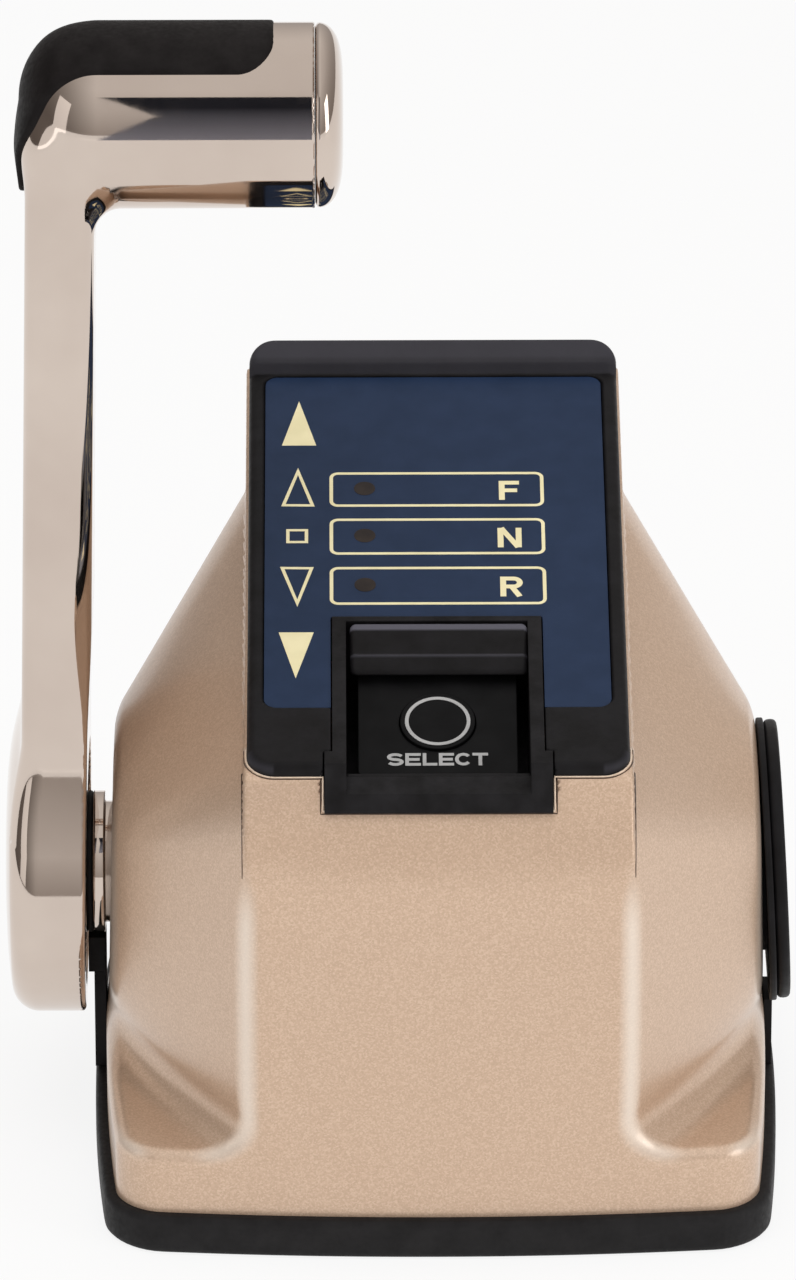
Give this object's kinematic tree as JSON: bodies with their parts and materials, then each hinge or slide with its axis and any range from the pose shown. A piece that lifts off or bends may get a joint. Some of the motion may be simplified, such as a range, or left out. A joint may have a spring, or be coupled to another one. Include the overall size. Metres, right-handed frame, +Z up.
{
  "type": "boat throttle control lever",
  "caption": "Top-mount engine control: painted housing on a rubber base gasket, sloping indicator panel with a select key, and a side lever with a cross grip.",
  "frame": {"origin": "middle of the mounting face, below the lever axis", "axes": "+Z up from the mounting face, +Y away from the helmsman, +X to the helmsman's right; the lever is on -X"},
  "size_m": [0.1548, 0.1426, 0.228],
  "materials": {
    "champagne_paint": "metallic gloss",
    "polished_steel": "mirror polished",
    "black_rubber": "matt",
    "black_plastic": "fine textured",
    "key_black": "satin",
    "navy_overlay": "semi-gloss",
    "cast_aluminium": "as cast",
    "steel": "machined",
    "bronze": "machined",
    "board_green": "solder resist",
    "electronics": "moulded",
    "clear_plastic": "clear",
    "nylon": "satin"
  },
  "bodies": {
    "housing": {"base_gasket": "black_rubber", "base_plate": "cast_aluminium", "threaded_inserts": "steel", "cover_screws": "steel", "chassis_screws": "steel", "harness_grommet": "black_rubber", "housing_cover": "champagne_paint", "chassis_frame": "cast_aluminium", "stop_pins": "steel", "bearing_left": "bronze", "bearing_right": "bronze", "shaft_collar": "polished_steel", "collar_seal": "black_rubber", "side_cap_ring": "black_plastic", "side_cap": "black_plastic", "side_neck_left": "black_plastic", "side_neck_right": "black_plastic", "neck_boot": "black_rubber", "panel_bezel": "black_plastic", "panel_overlay": "navy_overlay", "switch_tub": "black_plastic", "select_plate": "key_black", "tact_switch": "electronics", "switch_board": "board_green", "button_guard": "black_plastic", "control_board": "board_green", "board_posts": "electronics", "indicator_lamps": "clear_plastic", "light_pipes": "clear_plastic", "main_chips": "electronics", "sensor_housing": "black_plastic", "detent_housing": "steel", "detent_spring": "steel", "friction_shoe": "nylon"},
    "lever": {"lever_arm": "polished_steel", "grip_pad": "black_rubber", "grip_end_cap": "polished_steel", "main_shaft": "steel", "lever_set_screw": "steel", "trim_switch_body": "black_plastic", "shaft_circlip": "steel", "drive_gear": "bronze", "detent_disc": "steel", "friction_drum": "steel"},
    "sensor_wheel": {"sensor_gear": "nylon"},
    "select_key": {"select_button": "key_black"},
    "trim_key": {"trim_rocker": "black_plastic"},
    "detent_pin": {"detent_plunger": "steel"},
    "friction_adjuster": {"friction_screw": "steel"}
  },
  "joints": [
    {"name": "lever_turn", "type": "hinge", "parent": "housing", "child": "lever", "pos_m": [0, 0, 0.051], "axis": [-1, 0, 0], "range_deg": [-70, 70]},
    {"name": "sensor_turn", "type": "hinge", "parent": "housing", "child": "sensor_wheel", "pos_m": [0.024, 0.01608, 0.07674], "axis": [-1, 0, 0], "range_deg": [-141, 141]},
    {"name": "select_press", "type": "slide", "parent": "housing", "child": "select_key", "axis": [0, 0.3746, -0.9272], "range_m": [0, 0.0008], "stiffness_N_per_m": 1500},
    {"name": "trim_rock", "type": "hinge", "parent": "lever", "child": "trim_key", "pos_m": [-0.0718, 0.01725, 0.193], "axis": [1, 0, 0], "range_deg": [-5, 5], "stiffness_Nm_per_rad": 0.4},
    {"name": "detent_slide", "type": "slide", "parent": "housing", "child": "detent_pin", "axis": [0, 0, -1], "range_m": [0, 0.001], "stiffness_N_per_m": 3000, "deforming": ["detent_spring"]},
    {"name": "adjuster_turn", "type": "hinge", "parent": "housing", "child": "friction_adjuster", "pos_m": [0.011, 0, 0.01], "axis": [0, 0, 1], "range_deg": [-180, 180]}
  ],
  "couplings": [
    {"joint": "sensor_turn", "follows": "lever_turn", "ratio": -2}
  ]
}
